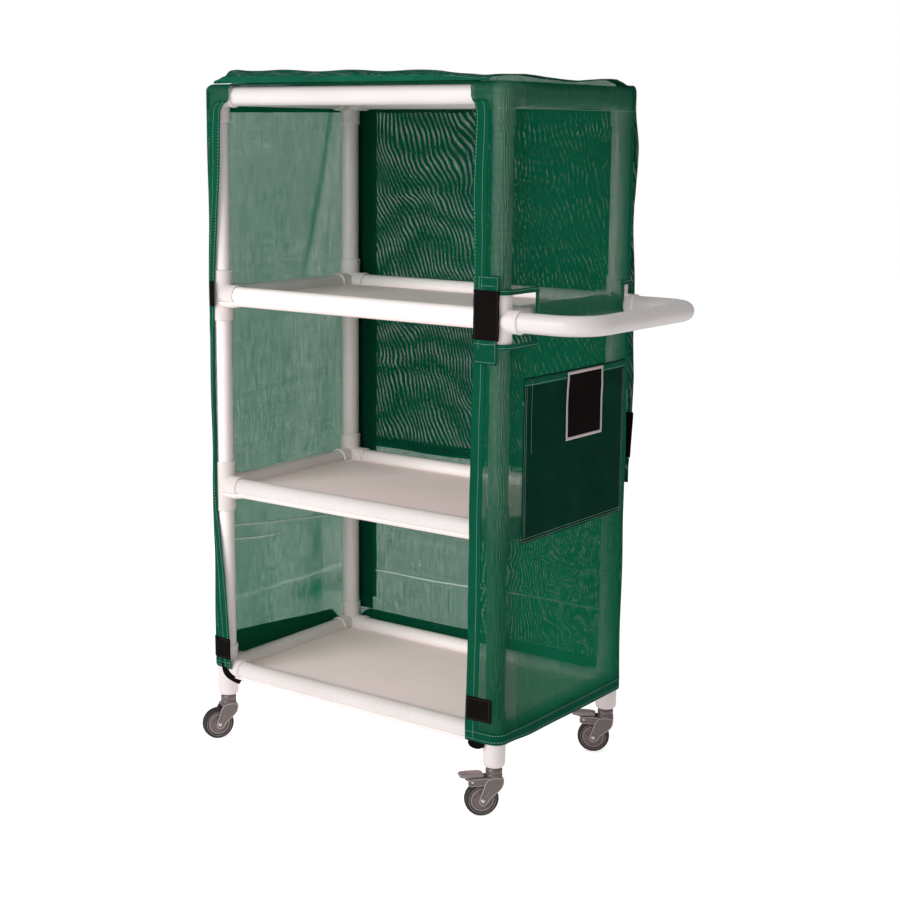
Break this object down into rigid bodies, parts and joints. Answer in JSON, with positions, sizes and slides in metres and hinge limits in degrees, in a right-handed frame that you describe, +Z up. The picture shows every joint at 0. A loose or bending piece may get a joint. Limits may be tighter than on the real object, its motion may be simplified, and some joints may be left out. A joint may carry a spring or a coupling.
{
  "type": "linen trolley",
  "caption": "Upright PVC pipe linen trolley with shelf trays, a push handle on one end, swivel casters and a net cover with a roll-over front flap.",
  "frame": {"origin": "on the floor, under the middle of the whole outline, push handle and flap included", "axes": "+X towards the push-handle end, +Y towards the back panel, +Z up; the open front faces -Y"},
  "size_m": [1.0516, 0.5612, 1.5427],
  "materials": {
    "pipe": "smooth white PVC, slight gloss",
    "fitting": "moulded white PVC, slight gloss",
    "tray": "moulded off-white sheet, fine grain",
    "net": "dark green coated mesh, open weave",
    "pocket": "dark green coated cloth, satin",
    "card": "blank black card, pale grey border",
    "strap": "black hook-and-loop webbing",
    "caster_metal": "grey painted pressed steel",
    "axle_metal": "bright plated",
    "tyre": "black rubber tread on a grey hub"
  },
  "bodies": {
    "trolley": {"post_fl": "pipe", "post_fr": "pipe", "post_bl": "pipe", "post_br": "pipe", "rail_front_low": "pipe", "rail_back_low": "pipe", "rail_left_low": "pipe", "rail_right_low": "pipe", "rail_front_mid": "pipe", "rail_back_mid": "pipe", "rail_left_mid": "pipe", "rail_right_mid": "pipe", "rail_front_up": "pipe", "rail_back_up": "pipe", "rail_left_up": "pipe", "rail_right_up": "pipe", "rail_front_top": "pipe", "rail_back_top": "pipe", "rail_left_top": "pipe", "rail_right_top": "pipe", "tee_fl_low": "fitting", "tee_fl_mid": "fitting", "tee_fl_up": "fitting", "elbow_fl_top": "fitting", "tee_fr_low": "fitting", "tee_fr_mid": "fitting", "tee_fr_up": "fitting", "elbow_fr_top": "fitting", "tee_bl_low": "fitting", "tee_bl_mid": "fitting", "tee_bl_up": "fitting", "elbow_bl_top": "fitting", "tee_br_low": "fitting", "tee_br_mid": "fitting", "tee_br_up": "fitting", "elbow_br_top": "fitting", "shelf_tray_low": "tray", "shelf_tray_mid": "tray", "shelf_tray_up": "tray", "push_handle": "pipe", "net_cover": "net", "cover_pocket": "pocket", "label_card": "card", "notch_strap": "strap"},
    "flap_over_top": {"flap_top": "net"},
    "flap_hanging": {"flap_back": "net"},
    "caster_fl": {"caster_fork_fl": "caster_metal", "caster_axle_fl": "axle_metal"},
    "wheel_fl": {"caster_wheel_fl": "tyre"},
    "caster_fr": {"caster_fork_fr": "caster_metal", "caster_axle_fr": "axle_metal"},
    "wheel_fr": {"caster_wheel_fr": "tyre"},
    "brake_fr": {"brake_pedal_fr": "caster_metal"},
    "caster_bl": {"caster_fork_bl": "caster_metal", "caster_axle_bl": "axle_metal"},
    "wheel_bl": {"caster_wheel_bl": "tyre"},
    "caster_br": {"caster_fork_br": "caster_metal", "caster_axle_br": "axle_metal"},
    "wheel_br": {"caster_wheel_br": "tyre"},
    "brake_br": {"brake_pedal_br": "caster_metal"}
  },
  "joints": [
    {"name": "flap_swing", "type": "hinge", "parent": "trolley", "child": "flap_over_top", "pos_m": [-0.08531, -0.24591, 1.5419], "axis": [1, 0, 0], "range_deg": [0, 270]},
    {"name": "flap_fold", "type": "hinge", "parent": "flap_over_top", "child": "flap_hanging", "pos_m": [-0.08531, 0.2798, 1.5419], "axis": [1, 0, 0], "range_deg": [0, 90]},
    {"name": "swivel_fl", "type": "hinge", "parent": "trolley", "child": "caster_fl", "pos_m": [-0.4728, -0.21491, 0.095], "axis": [0, 0, 1], "continuous": true},
    {"name": "spin_fl", "type": "hinge", "parent": "caster_fl", "child": "wheel_fl", "pos_m": [-0.48643, -0.23822, 0.0375], "axis": [0.8634, -0.5045, 0], "continuous": true},
    {"name": "swivel_fr", "type": "hinge", "parent": "trolley", "child": "caster_fr", "pos_m": [0.30219, -0.21491, 0.095], "axis": [0, 0, 1], "continuous": true},
    {"name": "spin_fr", "type": "hinge", "parent": "caster_fr", "child": "wheel_fr", "pos_m": [0.28399, -0.23484, 0.0375], "axis": [0.7385, -0.6743, 0], "continuous": true},
    {"name": "brake_fr", "type": "hinge", "parent": "caster_fr", "child": "brake_fr", "pos_m": [0.26848, -0.25183, 0.0805], "axis": [0.7385, -0.6743, 0], "range_deg": [0, 12]},
    {"name": "swivel_bl", "type": "hinge", "parent": "trolley", "child": "caster_bl", "pos_m": [-0.4728, 0.2501, 0.095], "axis": [0, 0, 1], "continuous": true},
    {"name": "spin_bl", "type": "hinge", "parent": "caster_bl", "child": "wheel_bl", "pos_m": [-0.49287, 0.23203, 0.0375], "axis": [0.6691, -0.7431, 0], "continuous": true},
    {"name": "swivel_br", "type": "hinge", "parent": "trolley", "child": "caster_br", "pos_m": [0.30219, 0.2501, 0.095], "axis": [0, 0, 1], "continuous": true},
    {"name": "spin_br", "type": "hinge", "parent": "caster_br", "child": "wheel_br", "pos_m": [0.27876, 0.23668, 0.0375], "axis": [0.497, -0.8678, 0], "continuous": true},
    {"name": "brake_br", "type": "hinge", "parent": "caster_br", "child": "brake_br", "pos_m": [0.25881, 0.22525, 0.0805], "axis": [0.497, -0.8678, 0], "range_deg": [0, 12]}
  ],
  "couplings": [
    {"joint": "flap_fold", "follows": "flap_swing", "ratio": 0.33333}
  ]
}
